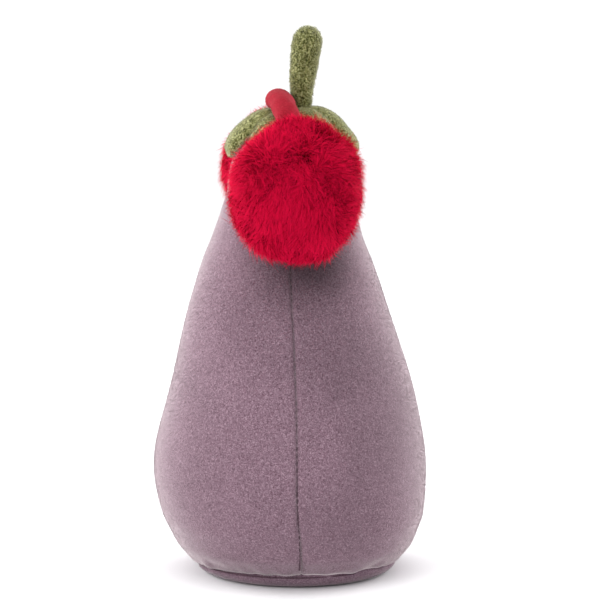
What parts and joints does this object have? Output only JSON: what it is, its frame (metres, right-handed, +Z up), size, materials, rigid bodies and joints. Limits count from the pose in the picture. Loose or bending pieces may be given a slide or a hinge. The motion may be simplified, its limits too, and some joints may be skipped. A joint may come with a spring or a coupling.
{
  "type": "plush eggplant toy",
  "caption": "Stuffed plush toy in the shape of an eggplant, standing on a pellet-weighted base, with green calyx leaves and stem and a pair of red fur earmuffs.",
  "frame": {"origin": "on the floor, under the middle of the body", "axes": "+Z up towards the stem; the toy's front looks along -X and its stem leans towards +X; the left fur ball is at -Y and the right one at +Y"},
  "size_m": [0.0861, 0.113, 0.17],
  "materials": {
    "purple_plush": "matte",
    "green_plush": "matte",
    "leaf_lining": "matte",
    "red_velour": "matte",
    "red_fur": "matte",
    "fibre_filling": "matte",
    "pouch_cloth": "matte",
    "pellets": "satin",
    "thread": "matte"
  },
  "bodies": {
    "root": {"base_panel": "purple_plush", "base_seam_thread": "thread", "body_back_panel": "purple_plush", "body_filling": "fibre_filling", "body_front_panel": "purple_plush", "headband_cover": "red_velour", "headband_filling": "fibre_filling", "leaf_back_left_under": "leaf_lining", "leaf_back_left_upper": "green_plush", "leaf_back_right_under": "leaf_lining", "leaf_back_right_upper": "green_plush", "leaf_back_under": "leaf_lining", "leaf_back_upper": "green_plush", "leaf_front_left_under": "leaf_lining", "leaf_front_left_upper": "green_plush", "leaf_front_right_under": "leaf_lining", "leaf_front_right_upper": "green_plush", "leaf_front_under": "leaf_lining", "leaf_front_upper": "green_plush", "pellet_fill": "pellets", "pellet_pouch_lower": "pouch_cloth", "pellet_pouch_upper": "pouch_cloth", "pompom_left_cover": "red_fur", "pompom_left_filling": "fibre_filling", "pompom_right_cover": "red_fur", "pompom_right_filling": "fibre_filling", "side_seam_thread_left": "thread", "side_seam_thread_right": "thread", "stem_back_panel": "green_plush", "stem_filling": "fibre_filling", "stem_front_panel": "green_plush"}
  },
  "joints": []
}
